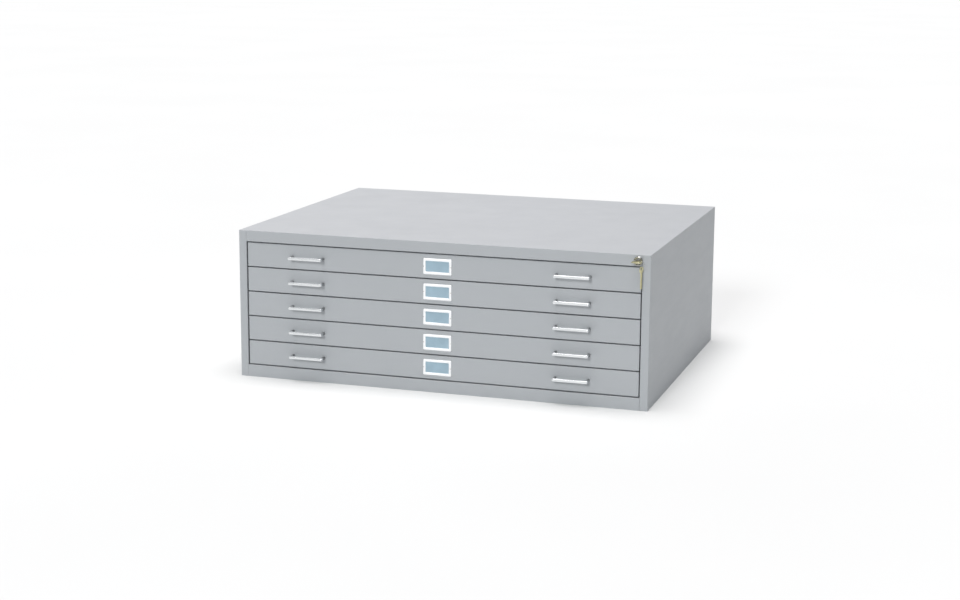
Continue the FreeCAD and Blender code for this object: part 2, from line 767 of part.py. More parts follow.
def lock_housing():
    """Round housing with a bezel that bears on the top rail."""
    body = new_body("lock_housing")
    extrude(body, "barrel", "XZ_Plane", "-housing_length", "housing_length", [("0", "0", "housing_radius")])
    extrude(body, "bezel", "XZ_Plane", "0", "bezel_depth", [("0", "0", "bezel_radius")])
    face = -value("bezel_depth")
    round_edges(body, "bezel_edge", "edge_radius", lambda box: near(box.YMin, face) and near(box.YMax, face))
    extrude(body, "plug_bore", "XZ_Plane", "-2 * housing_length", "4 * housing_length",
            [("0", "0", "plug_radius + plug_fit")], cut=True)
    return at_lock(body)


def lock_plug():
    """Plug that the key turns. Its keyway lies flat when the lock is open."""
    body = new_body("lock_plug")
    extrude(body, "cylinder", "XZ_Plane", "-plug_rear", "plug_rear + plug_front", [("0", "0", "plug_radius")])
    extrude(body, "keyway", "XZ_Plane", "-keyway_depth", "2 * keyway_depth",
            [rectangle("-keyway_half_width", "-keyway_half_height",
                       "keyway_half_width", "keyway_half_height")], cut=True)
    return at_lock(body)


def lock_cam():
    """Arm on the rear of the plug, with the pin that lifts and lowers the lock bar."""
    body = new_body("lock_cam")
    behind = "-plug_rear - cam_sheet"
    extrude(body, "hub", "XZ_Plane", behind, "cam_sheet", [("0", "0", "cam_hub_radius")])
    extrude(body, "arm", "XZ_Plane", behind, "cam_sheet",
            [[("0", "-cam_arm_root"), ("cam_throw", "-cam_arm_tip"),
              ("cam_throw", "cam_arm_tip"), ("0", "cam_arm_root")]])
    extrude(body, "tip", "XZ_Plane", behind, "cam_sheet", [("cam_throw", "0", "cam_tip_radius")])
    extrude(body, "pin", "XZ_Plane", f"{behind} - cam_pin_length", "cam_pin_length",
            [("cam_throw", "0", "cam_pin_radius")])
    body.Placement.Rotation = FreeCAD.Rotation(FreeCAD.Vector(0, 1, 0), -value("cam_rest_angle"))
    return at_lock(body)


def lock_bar():
    """Flat bar behind the right stile with an arm at the top for the cam and a finger at each drawer.
    It stands raised when the lock is open."""
    body = new_body("lock_bar")
    lowest = f"({drawer_base(DRAWER_COUNT)}) + bar_foot"
    comb = [("bar_outer", lowest), ("bar_outer", "bar_top"), ("bar_arm_inner", "bar_top"),
            ("bar_arm_inner", "bar_top - bar_arm_drop"), ("bar_inner", "bar_top - bar_arm_drop")]
    for drawer in range(1, DRAWER_COUNT + 1):
        finger = f"({drawer_base(drawer)}) + finger_rise"
        comb += [("bar_inner", f"{finger} + finger_height"), ("finger_inner", f"{finger} + finger_height"),
                 ("finger_inner", finger), ("bar_inner", finger)]
    comb.append(("bar_inner", lowest))
    extrude(body, "comb", "XZ_Plane", "bar_back", "bar_sheet", [comb])
    slots = [rectangle("cam_slot_inner", "cam_slot_height - cam_slot_half_height",
                       "cam_slot_outer", "cam_slot_height + cam_slot_half_height")]
    for height in ("lower_stud_height", "upper_stud_height"):
        slots.append(rectangle("stud_x - stud_radius - slot_clearance",
                               f"{height} - stud_radius - slot_clearance",
                               "stud_x + stud_radius + slot_clearance",
                               f"{height} + stud_radius + slot_clearance + bar_travel"))
    extrude(body, "slots", "XZ_Plane", "bar_back - bar_sheet", "3 * bar_sheet", slots, cut=True)
    return body


def key():
    """Key in the lock, with its bow lying flat and the ring's hole at its right end."""
    body = new_body("key")
    half = "key_sheet / 2"
    extrude(body, "bow", "XY_Plane", f"-{half}", "key_sheet",
            [rectangle("-key_bow_half_width", "-key_bow_end", "key_bow_half_width", "-key_bow_start")])
    round_edges(body, "bow_corners", "key_bow_corner", lambda box: along(box, "Z"))
    extrude(body, "neck", "XY_Plane", f"-{half}", "key_sheet",
            [rectangle("-key_neck_half_width", "-key_bow_start - key_sheet",
                       "key_neck_half_width", "-key_neck")])
    extrude(body, "blade", "XY_Plane", f"-{half}", "key_sheet",
            [rectangle("-key_blade_half_width", "-key_neck", "key_blade_half_width", "key_blade")])
    extrude(body, "ring_hole", "XY_Plane", "-key_sheet", "2 * key_sheet",
            [("key_bow_half_width - key_rim - key_hole_radius", "-key_hole_y", "key_hole_radius")], cut=True)
    return at_lock(body)


def key_ring():
    """Wire ring through the hole of the key's bow."""
    ring = doc.addObject("Part::Torus", "key_ring")
    ring.Label = "key_ring"
    bind(ring, "Radius1", "ring_radius")
    bind(ring, "Radius2", "ring_wire")
    ring.Placement.Rotation = FreeCAD.Rotation(FreeCAD.Vector(1, 0, 0), 90)
    place(ring, "key_rim_x", "-half_depth - key_hole_y", "lock_height - ring_drop")
    return ring


def spare_key():
    """Second key, hanging from the bottom of the ring and turned a little towards the front."""
    body = new_body("spare_key")
    back = "-key_sheet / 2"
    extrude(body, "bow", "XZ_Plane", back, "key_sheet", [("0", "-spare_bow_drop", "spare_bow_radius")])
    blade = [("-spare_blade_half_width", "-spare_blade_start"),
             ("-spare_blade_half_width", "-spare_length + spare_tooth_depth"),
             ("-spare_blade_half_width + spare_tooth_depth", "-spare_length"),
             ("spare_blade_half_width - 2 * spare_tooth_depth", "-spare_length")]
    for tooth in range(KEY_TOOTH_COUNT):
        tooth_start = f"-spare_length + {tooth} * spare_tooth_pitch"
        blade += [("spare_blade_half_width", f"{tooth_start} + spare_tooth_crest"),
                  ("spare_blade_half_width - spare_tooth_depth", f"{tooth_start} + spare_tooth_foot")]
    blade += [("spare_blade_half_width", "-spare_length + spare_teeth_length"),
              ("spare_blade_half_width", "-spare_blade_start")]
    extrude(body, "blade", "XZ_Plane", back, "key_sheet", [blade])
    extrude(body, "ring_hole", "XZ_Plane", "-key_sheet", "2 * key_sheet",
            [("0", "-spare_hole_drop", "spare_hole_radius")], cut=True)
    body.Placement.Rotation = FreeCAD.Rotation(FreeCAD.Vector(0, 0, 1), value("spare_turn"))
    place(body, "key_rim_x", "-half_depth - key_hole_y", "lock_height - ring_drop - ring_radius")
    return body


# ---------------------------------------------------------------- assembly

subparts = [top_panel(), side_panel("left", -1), side_panel("right", 1), back_panel(), bottom_panel(),
            bottom_rail(), uprights(), guide_rails(), lock_housing(), lock_plug(), lock_cam(), lock_bar(),
            key(), key_ring(), spare_key()]
for number in range(1, DRAWER_COUNT + 1):
    subparts += [tray(number), drawer_front(number), handles(number), label_holder(number),
                 label_card(number), depressor(number), fixings(number),
                 rollers("rear", number, "rear_roller_y", "rear_roller_rise"),
                 rollers("front", number, "-front_roller_y", "front_roller_rise")]
doc.recompute()

faulty = [item.Label for item in doc.Objects if {"Invalid", "Error"} & set(item.State)]
faulty += [part.Label for part in subparts if part.Shape.isNull() or not part.Shape.isValid()]
if faulty:
    raise RuntimeError(f"faulty objects: {faulty}")

os.makedirs("parts", exist_ok=True)
for part in subparts:
    part.Shape.exportStep(f"parts/{part.Label}.step")
    box = part.Shape.BoundBox
    print(f"{part.Label}: {len(part.Shape.Solids)} solids, {part.Shape.Volume / 1000:.1f} cm3, "
          f"x {box.XMin:.1f}..{box.XMax:.1f}, y {box.YMin:.1f}..{box.YMax:.1f}, "
          f"z {box.ZMin:.1f}..{box.ZMax:.1f}")
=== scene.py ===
import json
import math

import bmesh
import bpy
from mathutils import Matrix, Vector


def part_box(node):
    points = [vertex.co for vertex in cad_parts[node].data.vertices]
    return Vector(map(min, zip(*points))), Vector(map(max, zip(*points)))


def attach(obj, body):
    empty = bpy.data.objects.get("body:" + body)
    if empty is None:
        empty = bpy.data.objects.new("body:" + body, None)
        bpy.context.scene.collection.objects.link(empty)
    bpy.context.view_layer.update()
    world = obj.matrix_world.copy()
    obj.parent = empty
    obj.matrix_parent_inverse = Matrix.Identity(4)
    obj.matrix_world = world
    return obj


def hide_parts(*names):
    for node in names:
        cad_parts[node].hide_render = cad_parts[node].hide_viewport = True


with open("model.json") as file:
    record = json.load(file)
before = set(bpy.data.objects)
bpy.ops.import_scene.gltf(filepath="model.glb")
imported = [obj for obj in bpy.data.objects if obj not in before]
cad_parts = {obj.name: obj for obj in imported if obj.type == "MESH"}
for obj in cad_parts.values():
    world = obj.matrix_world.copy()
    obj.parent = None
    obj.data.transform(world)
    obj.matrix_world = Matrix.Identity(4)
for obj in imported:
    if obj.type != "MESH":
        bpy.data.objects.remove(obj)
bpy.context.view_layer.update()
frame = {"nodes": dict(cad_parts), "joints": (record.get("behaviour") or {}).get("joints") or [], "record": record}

# Flat file cabinet: materials for the CAD parts, and finer meshes for the handles, label holders,
# fixings, lock and keys. Metres, +X right, +Y back, +Z up; the drawers face -Y.

MM = 0.001
DRAWERS = range(1, 6)
SIDES = (-1, 1)
SCENE = bpy.context.scene


# ---------------------------------------------------------------- mesh building

MERGE_DISTANCE = 1e-7


def finish_mesh(name, bm, material, smooth_angle=35.0):
    """Turns a bmesh into a smooth-shaded object with the edges past an angle kept sharp."""
    bmesh.ops.remove_doubles(bm, verts=bm.verts, dist=MERGE_DISTANCE)
    bmesh.ops.recalc_face_normals(bm, faces=bm.faces)
    mesh = bpy.data.meshes.new(name)
    bm.to_mesh(mesh)
    bm.free()
    mesh.polygons.foreach_set("use_smooth", [True] * len(mesh.polygons))
    mesh.set_sharp_from_angle(angle=math.radians(smooth_angle))
    mesh.materials.append(material)
    piece = bpy.data.objects.new(name, mesh)
    SCENE.collection.objects.link(piece)
    return piece


def add_piece(name, bm, material, body, replaced=(), smooth_angle=35.0):
    """Finishes a mesh, and makes it ride on a body in place of the CAD nodes that it stands for."""
    piece = finish_mesh(name, bm, material, smooth_angle)
    if replaced:
        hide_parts(*replaced)
    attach(piece, body)


def add_loops(bm, loops, closed_stack=False):
    """Skins a stack of equally long closed loops of points. An open stack gets flat ends."""
    rings = [[bm.verts.new(point) for point in loop] for loop in loops]
    pairs = list(zip(rings, rings[1:]))
    if closed_stack:
        pairs.append((rings[-1], rings[0]))
    for lower, upper in pairs:
        count = len(lower)
        for i in range(count):
            j = (i + 1) % count
            bm.faces.new((lower[i], lower[j], upper[j], upper[i]))
    if not closed_stack:
        bm.faces.new(rings[0][::-1])
        bm.faces.new(rings[-1])


def add_lathe(bm, profile, matrix, segments):
    """Turns (distance along the axis, radius) points round the matrix's Z axis. A radius of 0 closes
    an end."""
    turn = 2 * math.pi / segments
    rings = []
    for along, radius in profile:
        count = segments if radius else 1
        rings.append([bm.verts.new(matrix @ Vector((radius * math.cos(turn * k),
                                                    radius * math.sin(turn * k), along)))
                      for k in range(count)])
    for lower, upper in zip(rings, rings[1:]):
        for k in range(segments):
            n = (k + 1) % segments
            corners = [lower[k % len(lower)], lower[n % len(lower)], upper[n % len(upper)],
                       upper[k % len(upper)]]
            unique = list(dict.fromkeys(corners))
            if len(unique) > 2:
                bm.faces.new(unique)


def rounded_rectangle(width, height, radius, steps=6):
    """Points of a rectangle with round corners, centred on the origin, anticlockwise."""
    points = []
    for turn, (sx, sy) in enumerate(((1, 1), (-1, 1), (-1, -1), (1, -1))):
        centre_x = sx * (width / 2 - radius)
        centre_y = sy * (height / 2 - radius)
        for k in range(steps + 1):
            angle = math.pi / 2 * (turn + k / steps)
            points.append((centre_x + radius * math.cos(angle), centre_y + radius * math.sin(angle)))
    return points


def circle_points(x, y, radius, count):
    """Points of a circle, anticlockwise."""
    points = []
    for k in range(count):
        angle = 2 * math.pi * k / count
        points.append((x + radius * math.cos(angle), y + radius * math.sin(angle)))
    return points


def in_mm(points):
    """Points given in millimetres, as metres."""
    return [tuple(coordinate * MM for coordinate in point) for point in points]


def add_plate(bm, outlines, thickness, bevel, matrix):
    """A flat plate with softened edges, in millimetres: the first outline less the holes of the
    others, centred on the matrix's XY plane."""
    curve = bpy.data.curves.new("plate", "CURVE")
    curve.dimensions = "2D"
    curve.fill_mode = "BOTH"
    curve.extrude = thickness * MM / 2 - bevel * MM
    curve.bevel_depth = bevel * MM
    curve.bevel_resolution = 2
    curve.offset = -bevel * MM
    for outline in outlines:
        spline = curve.splines.new("POLY")
        spline.points.add(len(outline) - 1)
        spline.use_cyclic_u = True
        for point, (x, y) in zip(spline.points, in_mm(outline)):
            point.co = (x, y, 0, 1)
    holder = bpy.data.objects.new("plate", curve)
    mesh = bpy.data.meshes.new_from_object(holder)
    mesh.transform(matrix)
    bm.from_mesh(mesh)
    bpy.data.objects.remove(holder)
    bpy.data.meshes.remove(mesh)


def facing_front(x, y, z):
    """Frame at a point whose Z axis looks out of the drawers' fronts, X right and Y up."""
    return Matrix.Translation((x, y, z)) @ Matrix.Rotation(math.pi / 2, 4, "X")


def facing_back(x, y, z):
    """Frame at a point whose Z axis looks to the back."""
    return Matrix.Translation((x, y, z)) @ Matrix.Rotation(-math.pi / 2, 4, "X")


def facing_side(x, y, z, side):
    """Frame at a point whose Z axis looks to the right for side 1 and to the left for side -1."""
    return Matrix.Translation((x, y, z)) @ Matrix.Rotation(side * math.pi / 2, 4, "Y")


def raised(matrix, height):
    """The frame moved along its own Z axis, by millimetres."""
    return matrix @ Matrix.Translation((0, 0, height * MM))


# ---------------------------------------------------------------- places read from the frame

JOINTS = {joint["name"]: joint for joint in frame["joints"]}
FRONTS_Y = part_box("front_1")[0].y
HANDLE_POST = 46 * MM
CAD_ROD_RADIUS = 4 * MM


def middle(node):
    """Middle of a CAD node's box."""
    low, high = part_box(node)
    return (low + high) / 2


def drawer_face(drawer):
    """Y of the front's outer face and Z of its middle."""
    low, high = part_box(f"front_{drawer}")
    return low.y, (low.z + high.z) / 2


def handle_offset(drawer):
    """How far the middle of a handle is from the middle of the drawer."""
    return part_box(f"handles_{drawer}")[1].x - HANDLE_POST - CAD_ROD_RADIUS


# ---------------------------------------------------------------- materials

class Paint:
    """A node material around one Principled shader, whose textures use the object's own metres."""

    def __init__(self, name, **sockets):
        self.material = bpy.data.materials.new(name)
        self.material.use_nodes = True
        self.tree = self.material.node_tree
        self.shader = self.tree.nodes["Principled BSDF"]
        for socket, setting in sockets.items():
            self.shader.inputs[socket.replace("_", " ")].default_value = setting
        self.place = self.node("ShaderNodeTexCoord").outputs["Object"]

    def node(self, kind, links=None, **settings):
        """Adds a node. A setting is an input's value or else a property."""
        made = self.tree.nodes.new(kind)
        for name, setting in settings.items():
            if name in made.inputs:
                made.inputs[name].default_value = setting
            else:
                setattr(made, name, setting)
        for name, source in (links or {}).items():
            self.tree.links.new(source, made.inputs[name])
        return made

    def stretched(self, x, y, z):
        """Coordinates multiplied along each axis, for grain that runs one way."""
        return self.node("ShaderNodeMapping", {"Vector": self.place}, Scale=(x, y, z)).outputs["Vector"]

    def noise(self, scale, detail=3.0, roughness=0.5, place=None):
        """Smooth noise. Scale counts its waves per metre, before any stretching."""
        return self.node("ShaderNodeTexNoise", {"Vector": place or self.place}, Scale=scale,
                         Detail=detail, Roughness=roughness).outputs["Fac"]

    def spread(self, source, low, high, start=0.35, end=0.65):
        """Maps start..end, the middle of a noise unless given, onto low..high."""
        made = self.node("ShaderNodeMapRange", {"Value": source})
        limits = {"From Min": start, "From Max": end, "To Min": low, "To Max": high}
        for name, setting in limits.items():
            made.inputs[name].default_value = setting
        return made.outputs["Result"]

    def mixed(self, factor, first, second):
        """Colour between two colours or sockets."""
        made = self.node("ShaderNodeMix", data_type="RGBA")
        self.tree.links.new(factor, made.inputs["Factor"])
        for name, colour in (("A", first), ("B", second)):
            if isinstance(colour, bpy.types.NodeSocket):
                self.tree.links.new(colour, made.inputs[name])
            else:
                made.inputs[name].default_value = (*colour, 1.0)
        return made.outputs["Result"]

    def use(self, socket, source):
        """Feeds one of the shader's inputs."""
        self.tree.links.new(source, self.shader.inputs[socket])

    def bump(self, height, distance, strength, below=None):
        """Normal from a height of 0 to 1 that stands for a distance in metres, over another normal."""
        made = self.node("ShaderNodeBump", {"Height": height}, Distance=distance, Strength=strength)
        if below is not None:
            self.tree.links.new(below, made.inputs["Normal"])
        return made.outputs["Normal"]


def shade(colour, factor):
    """A colour made darker or lighter."""
    return tuple(channel * factor for channel in colour)


def enamel(name, colour):
    """Baked enamel on sheet steel: slow tone drift, fine specks, faint rub marks and orange peel."""
    paint = Paint(name, Specular_IOR_Level=0.3)
    drift = paint.spread(paint.noise(scale=2.4), 0.0, 1.0)
    base = paint.mixed(drift, shade(colour, 0.99), shade(colour, 1.01))
    specks = paint.spread(paint.noise(scale=420.0, detail=2.0), 0.0, 0.35, start=0.66, end=0.78)
    paint.use("Base Color", paint.mixed(specks, base, shade(colour, 0.86)))
    rubs = paint.noise(scale=9.0, detail=6.0, roughness=0.65, place=paint.stretched(1.0, 1.0, 5.0))
    paint.use("Roughness", paint.spread(rubs, 0.40, 0.47))
    peel = paint.bump(paint.noise(scale=650.0, detail=2.0), distance=0.06 * MM, strength=0.35)
    waves = paint.noise(scale=5.0, detail=2.0)
    paint.use("Normal", paint.bump(waves, distance=0.8 * MM, strength=0.05, below=peel))
    return paint.material


def galvanised(name, colour):
    """Zinc-coated sheet with its crystal spangle."""
    paint = Paint(name, Metallic=1.0)
    spangle = paint.node("ShaderNodeTexVoronoi", {"Vector": paint.place}, Scale=85.0)
    crystal = paint.node("ShaderNodeSeparateColor", {"Color": spangle.outputs["Color"]}).outputs["Red"]
    tone = paint.spread(crystal, 0.0, 1.0, start=0.0, end=1.0)
    base = paint.mixed(tone, shade(colour, 0.88), shade(colour, 1.08))
    stain = paint.spread(paint.noise(scale=14.0, detail=5.0), 0.0, 0.4, start=0.55, end=0.7)
    paint.use("Base Color", paint.mixed(stain, base, shade(colour, 0.62)))
    paint.use("Roughness", paint.spread(tone, 0.3, 0.46, start=0.0, end=1.0))
    paint.use("Normal", paint.bump(paint.noise(scale=500.0), distance=0.04 * MM, strength=0.4))
    return paint.material


def drawn_metal(name, colour, roughness, grain, tarnish, painted_shade=None):
    """Bright metal with fine lines across grain's largest scales, smudges and faint tarnish.

    The optional last argument, (bright side's y, dark side's y, tone), paints shade: the metal's colour darkens to
    the tone between the two.
    """
    paint = Paint(name, Metallic=1.0)
    lines = paint.noise(scale=1.0, detail=2.0, roughness=0.6, place=paint.stretched(*grain))
    smudge = paint.noise(scale=60.0, detail=4.0, roughness=0.6)
    worn = paint.spread(smudge, 0.0, 1.0, start=0.45, end=0.75)
    base = paint.mixed(worn, colour, shade(colour, tarnish))
    if painted_shade:
        bright_y, dark_y, tone = painted_shade
        # painted shade: the colour darkens along the object's Y towards the drawer's face
        along = paint.node("ShaderNodeSeparateXYZ", {"Vector": paint.place}).outputs["Y"]
        base = paint.mixed(paint.spread(along, 0.0, 1.0, start=bright_y, end=dark_y), base, tone)
    paint.use("Base Color", base)
    paint.use("Roughness", paint.spread(lines, *roughness))
    scratches = paint.bump(lines, distance=0.03 * MM, strength=0.5)
    pits = paint.noise(scale=900.0, detail=2.0)
    paint.use("Normal", paint.bump(pits, distance=0.01 * MM, strength=0.4, below=scratches))
    return paint.material


def nylon(name, colour):
    """Moulded nylon, slightly mottled."""
    paint = Paint(name, IOR=1.53, Subsurface_Weight=0.08)
    mottle = paint.spread(paint.noise(scale=90.0, detail=4.0), 0.0, 1.0)
    paint.use("Base Color", paint.mixed(mottle, shade(colour, 0.93), colour))
    paint.use("Roughness", paint.spread(paint.noise(scale=240.0), 0.4, 0.58))
    grain = paint.noise(scale=700.0, detail=2.0)
    paint.use("Normal", paint.bump(grain, distance=0.04 * MM, strength=0.35))
    return paint.material


def card_stock(name, colour):
    """Uncoated card with short fibres."""
    paint = Paint(name, Specular_IOR_Level=0.25)
    fibres = paint.noise(scale=1.0, detail=5.0, roughness=0.7, place=paint.stretched(500.0, 500.0, 1700.0))
    tone = paint.spread(paint.noise(scale=35.0, detail=4.0), 0.0, 1.0)
    base = paint.mixed(tone, shade(colour, 0.95), shade(colour, 1.03))
    dark_fibres = paint.spread(fibres, 0.0, 0.3, start=0.55, end=0.75)
    paint.use("Base Color", paint.mixed(dark_fibres, base, shade(colour, 0.9)))
    paint.use("Roughness", paint.spread(fibres, 0.78, 0.92))
    paint.use("Normal", paint.bump(fibres, distance=0.06 * MM, strength=0.6))
    return paint.material


ENAMEL_GREY = (0.414, 0.434, 0.453)
# a metal's grain, as noise scales along X, Y and Z
ALONG_X = (20.0, 1500.0, 1500.0)
ACROSS_Z = (60.0, 60.0, 1400.0)
ALONG_Z = (900.0, 900.0, 60.0)
EVEN = (500.0, 500.0, 500.0)
# painted shade on the handles' posts: the metal is bright in front of the first y and has this tone behind the
# second, standing in for the shade that falls on the posts
POST_PAINTED_SHADE = (FRONTS_Y - 19 * MM, FRONTS_Y - 14 * MM, (0.30, 0.305, 0.31))

CASE = enamel("case_enamel", ENAMEL_GREY)
DRAWER = enamel("drawer_enamel", ENAMEL_GREY)
GALVANISED = galvanised("galvanised_steel", (0.55, 0.56, 0.57))
ZINC = drawn_metal("zinc_steel", (0.66, 0.66, 0.63), (0.26, 0.4), ACROSS_Z, tarnish=0.8)
BRIGHT = drawn_metal("polished_aluminium", (0.96, 0.97, 0.98), (0.48, 0.60), ALONG_X, tarnish=0.97)
# the handles' posts get painted shade, not a different finish
HANDLE_METAL = drawn_metal("handle_aluminium", (0.79, 0.81, 0.82), (0.26, 0.38), ALONG_X, tarnish=0.95,
                           painted_shade=POST_PAINTED_SHADE)
NICKEL = drawn_metal("satin_nickel", (0.42, 0.42, 0.41), (0.2, 0.32), EVEN, tarnish=0.85)
DARK_NICKEL = drawn_metal("dark_nickel", (0.20, 0.20, 0.19), (0.3, 0.45), EVEN, tarnish=0.8)
CHROME = drawn_metal("lock_chrome", (0.78, 0.78, 0.77), (0.08, 0.18), EVEN, tarnish=0.9)
BRASS = drawn_metal("key_brass", (0.66, 0.62, 0.38), (0.3, 0.45), ALONG_Z, tarnish=0.78)
CARD = card_stock("label_card", (0.342, 0.466, 0.550))
NYLON = nylon("roller_nylon", (0.84, 0.83, 0.78))

SLOT_MATERIALS = {
    "case_enamel": CASE,
    "drawer_enamel": DRAWER,
    "galvanised_steel": GALVANISED,
    "zinc_steel": ZINC,
    "polished_aluminium": BRIGHT,
    "lock_chrome": CHROME,
    "key_brass": BRASS,
    "label_paper": CARD,
    "roller_nylon": NYLON,
}


def paint_cad_parts():
    """Gives every CAD part the material of its slot."""
    for row in frame["record"]["subparts"]:
        materials = frame["nodes"][row["node"]].data.materials
        materials.clear()
        materials.append(SLOT_MATERIALS[row["material_slot"]])


# ---------------------------------------------------------------- handles

# the bow's section is a rounded bar, and its centre line runs between the posts at this reach
HANDLE_REACH = 24.4 * MM
HANDLE_WIDTH = 8 * MM
HANDLE_DEPTH = 6.4 * MM
HANDLE_EDGE = 1.6 * MM
HANDLE_PIVOT = 3.6 * MM
HANDLE_SQUARENESS = 8
HANDLE_CORNER_STEPS = 12


def handle_corner(side):
    """Stations round one corner of the bow: the left one for side -1, the right one for side 1.

    The section turns round a pivot just inside the corner, and swells there to keep it nearly square.
    """
    stations = []
    for k in range(HANDLE_CORNER_STEPS + 1):
        turn = math.pi / 2 * k / HANDLE_CORNER_STEPS
        angle = math.pi + turn if side < 0 else 1.5 * math.pi + turn
        swell = (abs(math.cos(angle)) ** HANDLE_SQUARENESS
                 + abs(math.sin(angle)) ** HANDLE_SQUARENESS) ** (-1 / HANDLE_SQUARENESS)
        x = side * (HANDLE_POST - HANDLE_PIVOT) + HANDLE_PIVOT * swell * math.cos(angle)
        y = -(HANDLE_REACH - HANDLE_PIVOT) + HANDLE_PIVOT * swell * math.sin(angle)
        stations.append((x, y, angle, swell))
    return stations


def handle_path():
    """(x, y, angle of the outward direction, swell) along the bow, out of one post and into the other."""
    first_post = [(-HANDLE_POST, y, math.pi, 1.0) for y in (0.0, -HANDLE_REACH / 2)]
    last_post = [(HANDLE_POST, y, 2 * math.pi, 1.0) for y in (-HANDLE_REACH / 2, 0.0)]
    return first_post + handle_corner(-1) + handle_corner(1) + last_post


def add_handle(bm, x, y, z):
    """One bow handle with its middle at x, z and its posts' feet at y."""
    section = rounded_rectangle(HANDLE_DEPTH, HANDLE_WIDTH, HANDLE_EDGE, steps=4)
    loops = []
    for path_x, path_y, angle, swell in handle_path():
        outward = Vector((math.cos(angle), math.sin(angle), 0)) * swell
        centre = Vector((x + path_x, y + path_y, z))
        loops.append([centre + outward * u + Vector((0, 0, v)) for u, v in section])
    add_loops(bm, loops)


def build_handles(drawer):
    """Both handles of a drawer, as one piece."""
    face, height = drawer_face(drawer)
    bm = bmesh.new()
    for side in SIDES:
        add_handle(bm, side * handle_offset(drawer), face, height)
    add_piece(f"bow_handles_{drawer}", bm, HANDLE_METAL, f"drawer_{drawer}",
              [f"handles_{drawer}"])


# ---------------------------------------------------------------- label holders

# sizes of this section are in millimetres
LABEL_WIDTH = 81.4
LABEL_HEIGHT = 44.2
LABEL_CORNER = 3.0
LABEL_INNER_CORNER = 0.8
LABEL_CORNER_FALL = 0.35
# (inset from the outer edge, height above the drawer's face) round the frame's section
LABEL_SECTION = ((0.0, 0.0), (0.0, 1.5), (0.25, 2.1), (0.8, 2.55), (1.6, 2.75), (2.4, 2.8), (5.0, 2.8),
                 (6.0, 2.7), (6.8, 2.35), (7.25, 1.8), (7.45, 1.2), (7.45, 1.0), (4.0, 1.0), (4.0, 0.0))


def build_label_holder(drawer):
    """Rolled frame whose corners get tighter towards its window."""
    face, height = drawer_face(drawer)
    bm = bmesh.new()
    loops = []
    for inset, rise in LABEL_SECTION:
        corner = max(LABEL_CORNER - inset * LABEL_CORNER_FALL, LABEL_INNER_CORNER)
        outline = rounded_rectangle(LABEL_WIDTH - 2 * inset, LABEL_HEIGHT - 2 * inset, corner)
        loops.append([Vector((x, face - rise * MM, height + z)) for x, z in in_mm(outline)])
    add_loops(bm, loops, closed_stack=True)
    add_piece(f"label_frame_{drawer}", bm, BRIGHT, f"drawer_{drawer}",
              [f"label_holder_{drawer}"], smooth_angle=30.0)


# ---------------------------------------------------------------- fixings

# sizes of this section are in millimetres, and profiles are (distance along the axis, radius)
SCREW_PROFILE = [(-11.0, 0.0), (-11.0, 1.5), (-10.4, 2.0), (0.0, 2.0), (0.0, 3.9), (0.3, 4.0), (0.9, 3.9),
                 (1.5, 3.5), (1.5, 0.0)]
SCREW_SEAT = 1.0
SCREW_CAP_RADIUS = 3.5
SCREW_CAP_THICKNESS = 1.0
SCREW_CAP_BEVEL = 0.25
SCREW_CAP_MIDDLE = 2.0
CROSS_ARM = 1.9
CROSS_HALF_WIDTH = 0.5
RIVET_DOME = [(-4.0, 0.0), (-4.0, 0.9), (0.0, 0.9), (0.0, 1.45), (0.15, 1.5), (0.4, 1.4), (0.65, 1.05),
              (0.8, 0.5), (0.83, 0.0)]
RIVET_OFFSET = 38.75
RIVET_SEAT = 2.8
AXLE = [(0.0, 0.0), (0.0, 4.5), (3.9, 4.5), (4.3, 4.1), (4.3, 3.0), (12.7, 3.0), (12.7, 4.2), (12.9, 4.5),
        (13.3, 4.4), (13.6, 3.6), (13.7, 2.0), (13.6, 0.0)]
REAR_AXLE_FOOT = 550.0
HINGE_PIN_HALF = 549.0
HINGE_PIN_RADIUS = 2.0
HINGE_PIN_CHAMFER = 0.4


def cross_outline():
    """A plus sign, anticlockwise."""
    arm, half = CROSS_ARM, CROSS_HALF_WIDTH
    return [(arm, -half), (arm, half), (half, half), (half, arm), (-half, arm), (-half, half), (-arm, half),
            (-arm, -half), (-half, -half), (-half, -arm), (half, -arm), (half, -half)]


def add_screw(bm, x, y, z):
    """Pan-head screw with a cross recess. Its head faces back and its shank runs forward."""
    back = facing_back(x, y, z)
    add_lathe(bm, in_mm(SCREW_PROFILE), back, segments=24)
    cap = circle_points(0, 0, SCREW_CAP_RADIUS, count=24)
    add_plate(bm, [cap, cross_outline()], SCREW_CAP_THICKNESS, SCREW_CAP_BEVEL,
              raised(back, SCREW_CAP_MIDDLE))


def add_hinge_pin(bm, y, z):
    """Long pin across the drawer with chamfered ends."""
    half, radius, chamfer = HINGE_PIN_HALF, HINGE_PIN_RADIUS, HINGE_PIN_CHAMFER
    profile = [(-half, 0.0), (-half, radius - chamfer), (-half + chamfer, radius), (half - chamfer, radius),
               (half, radius - chamfer), (half, 0.0)]
    add_lathe(bm, in_mm(profile), facing_side(0, y, z, 1), segments=20)


def build_fixings(drawer):
    """The handles' screws, the label's rivets, the rear rollers' axles and the flap's hinge pin."""
    face, height = drawer_face(drawer)
    roller = middle(f"rear_rollers_{drawer}")
    hinge = Vector(JOINTS[f"depressor_{drawer}_hinge"]["pos_m"])
    bm = bmesh.new()
    for side in SIDES:
        for post in (-HANDLE_POST, HANDLE_POST):
            add_screw(bm, side * handle_offset(drawer) + post, face + SCREW_SEAT * MM, height)
        rivet = facing_front(side * RIVET_OFFSET * MM, face - RIVET_SEAT * MM, height)
        add_lathe(bm, in_mm(RIVET_DOME), rivet, segments=20)
        axle = facing_side(side * REAR_AXLE_FOOT * MM, roller.y, roller.z, side)
        add_lathe(bm, in_mm(AXLE), axle, segments=28)
    add_hinge_pin(bm, hinge.y, hinge.z)
    add_piece(f"fasteners_{drawer}", bm, ZINC, f"drawer_{drawer}", [f"fixings_{drawer}"])


# ---------------------------------------------------------------- lock and keys

